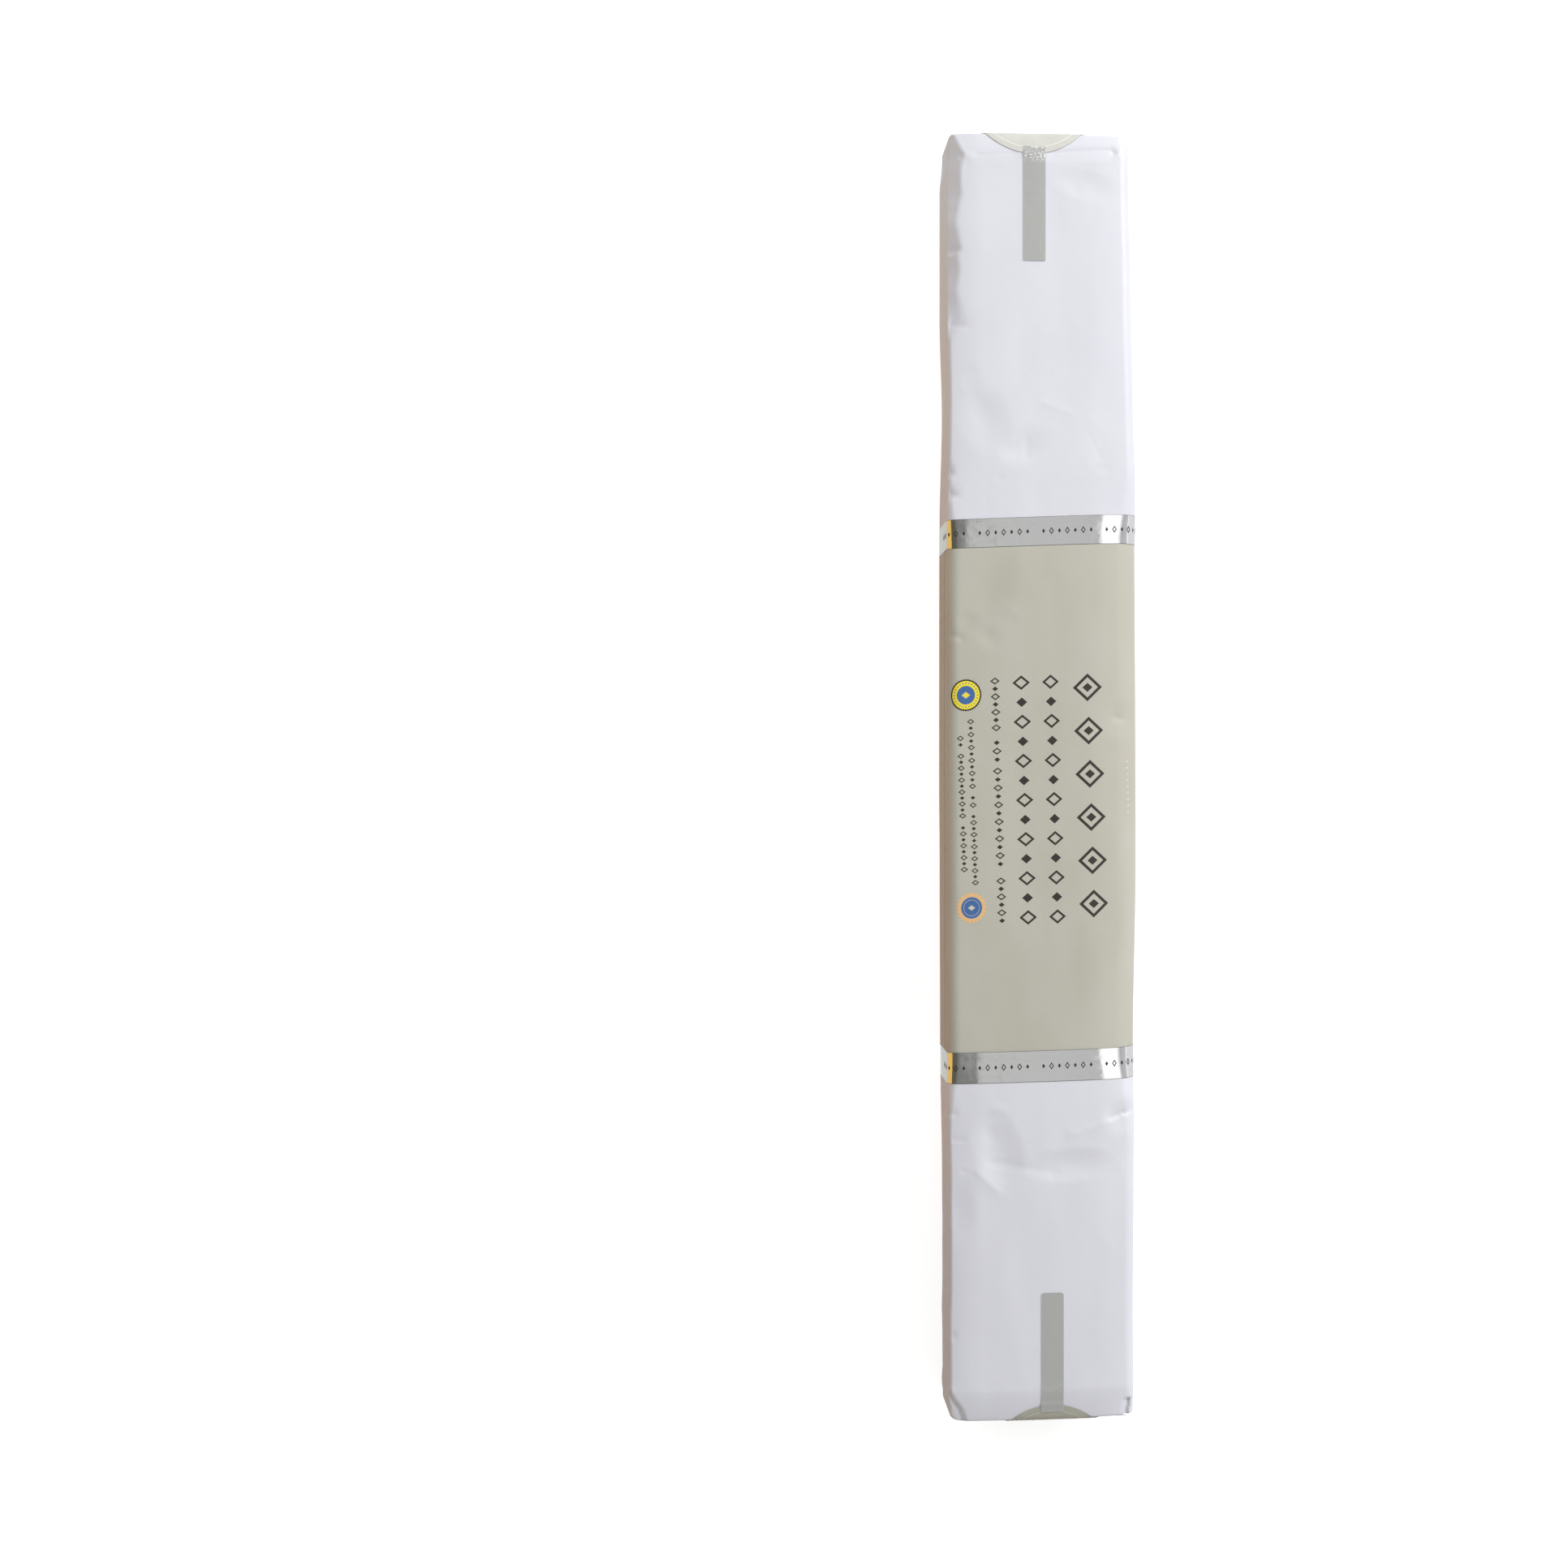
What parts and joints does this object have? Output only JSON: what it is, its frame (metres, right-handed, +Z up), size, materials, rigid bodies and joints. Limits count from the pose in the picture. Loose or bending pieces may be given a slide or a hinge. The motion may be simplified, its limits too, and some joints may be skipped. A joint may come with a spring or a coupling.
{
  "type": "pasta packet",
  "caption": "Long shut paper packet of dry spaghetti, wrapped square with folded ends, a stone paper label between foil bands, and a round seal with strips over each end.",
  "frame": {"origin": "on the table, under the middle of the packet's box, with the packet lying on its back", "axes": "+Y along the packet towards its head end, +Z up out of the labelled front, +X to the right of the front as seen from above with the head end away"},
  "size_m": [0.0794, 0.5209, 0.0424],
  "materials": {
    "white_paper": "satin",
    "label_paper": "satin",
    "silver_foil": "polished",
    "seal_paper": "satin",
    "silver_strip": "satin"
  },
  "bodies": {
    "root": {"wrapper": "white_paper", "label": "label_paper", "foil_band_head": "silver_foil", "foil_band_foot": "silver_foil", "seal_disc_head": "seal_paper", "seal_disc_foot": "seal_paper", "seal_strip_head_front": "silver_strip", "seal_strip_head_back": "silver_strip", "seal_strip_foot_front": "silver_strip", "seal_strip_foot_back": "silver_strip"}
  },
  "joints": []
}
